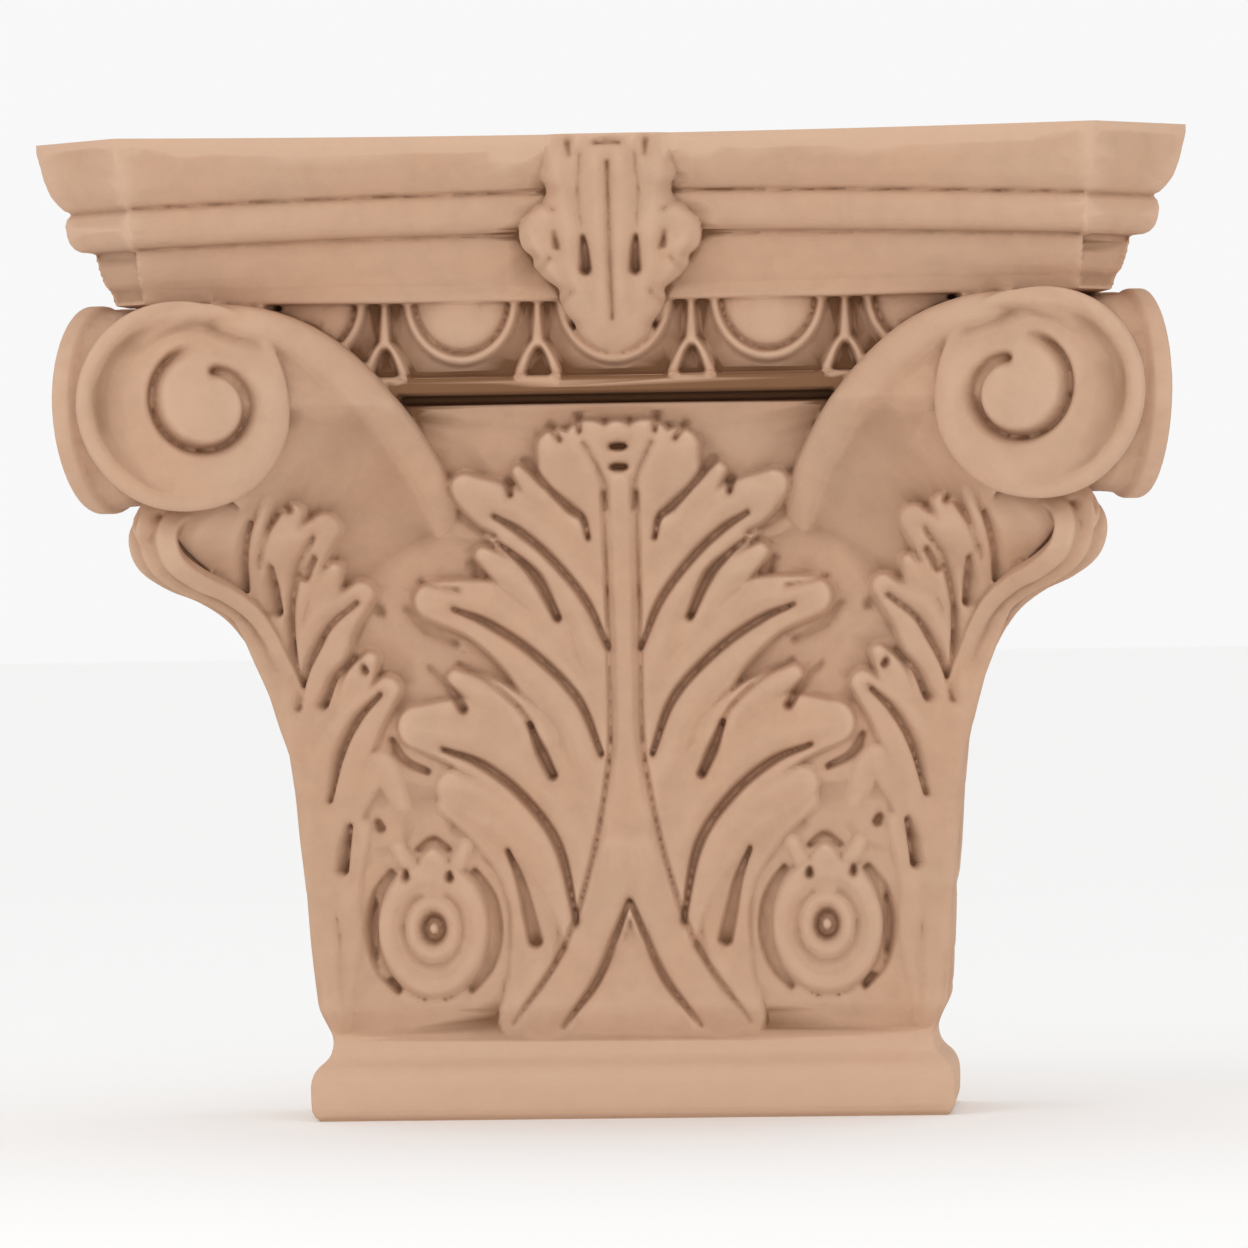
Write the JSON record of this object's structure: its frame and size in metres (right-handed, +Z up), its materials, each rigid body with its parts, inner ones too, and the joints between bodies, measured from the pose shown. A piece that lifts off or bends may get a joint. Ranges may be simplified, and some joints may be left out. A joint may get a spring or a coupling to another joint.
{
  "type": "corinthian pilaster capital",
  "caption": "Square-plan Corinthian capital with a flat back: hollow-sided abacus, corner volutes, egg and dart, acanthus leaves and a round foot moulding.",
  "frame": {"origin": "on the underside, at the middle of the width and of the depth of the whole capital", "axes": "+Z up, +Y out of the flat back towards the wall, so the carved front faces -Y; +X to the right of a viewer in front"},
  "size_m": [0.2848, 0.1204, 0.2454],
  "materials": {
    "composition": "matt fine-grained cast composition, unpainted tan, darker in the hollows and slightly paler on the worn edges"
  },
  "bodies": {
    "root": {"capital": "composition"}
  },
  "joints": []
}
